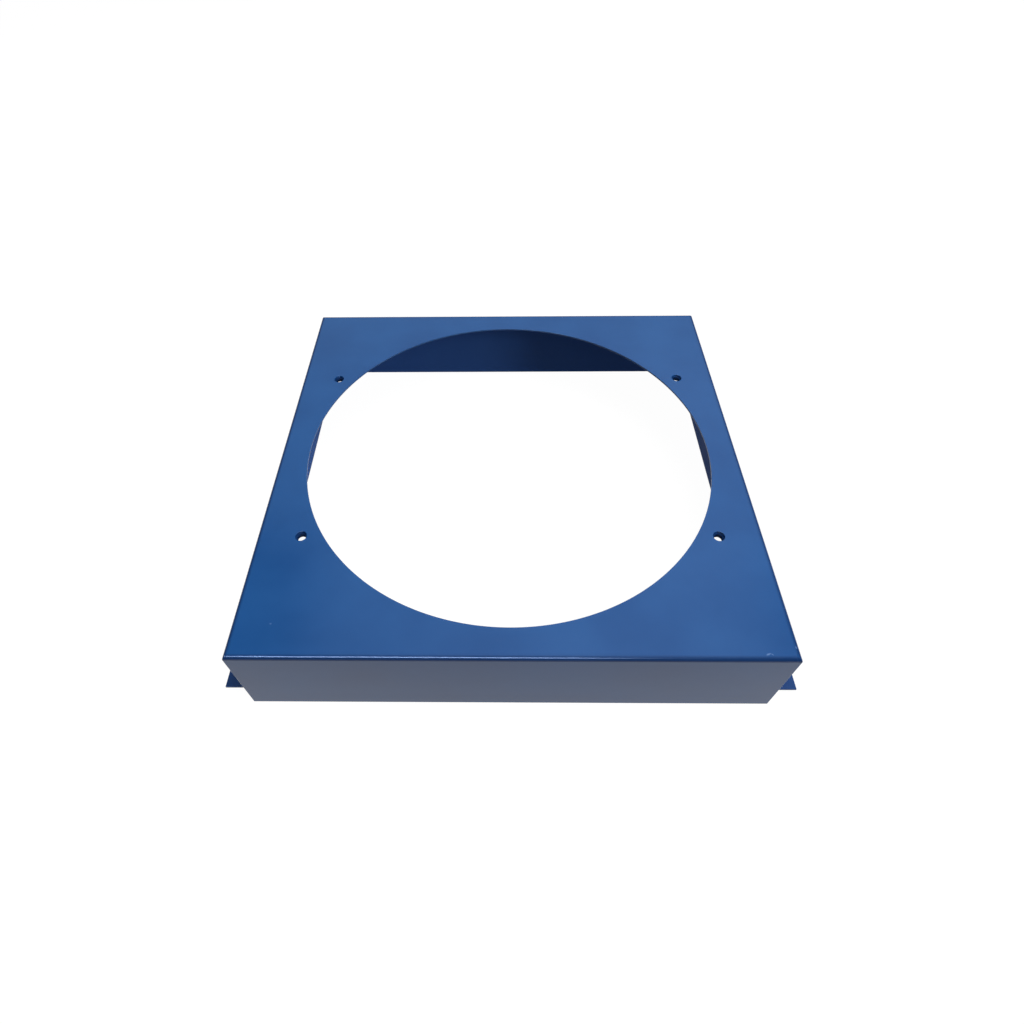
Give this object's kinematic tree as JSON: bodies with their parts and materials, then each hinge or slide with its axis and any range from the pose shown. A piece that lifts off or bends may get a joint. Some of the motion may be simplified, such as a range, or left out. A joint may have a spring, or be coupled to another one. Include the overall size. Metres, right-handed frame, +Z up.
{
  "type": "motor fan cover",
  "caption": "Square folded sheet-steel cover for a motor-driven fan, with a large round opening, welded nuts round it, deep skirts and outward mounting feet.",
  "frame": {"origin": "under the middle of the fan opening, level with the lower edges of the skirts", "axes": "+X to the right, across the feet; +Y to the rear; +Z up along the fan's axis, out of the plate"},
  "size_m": [0.585, 0.525, 0.1],
  "materials": {
    "cover_enamel": "semi-gloss blue stoving enamel",
    "nut_enamel": "blue stoving enamel, thin over the weld beads"
  },
  "bodies": {
    "root": {"folded_cover": "cover_enamel", "weld_nuts": "nut_enamel"}
  },
  "joints": []
}
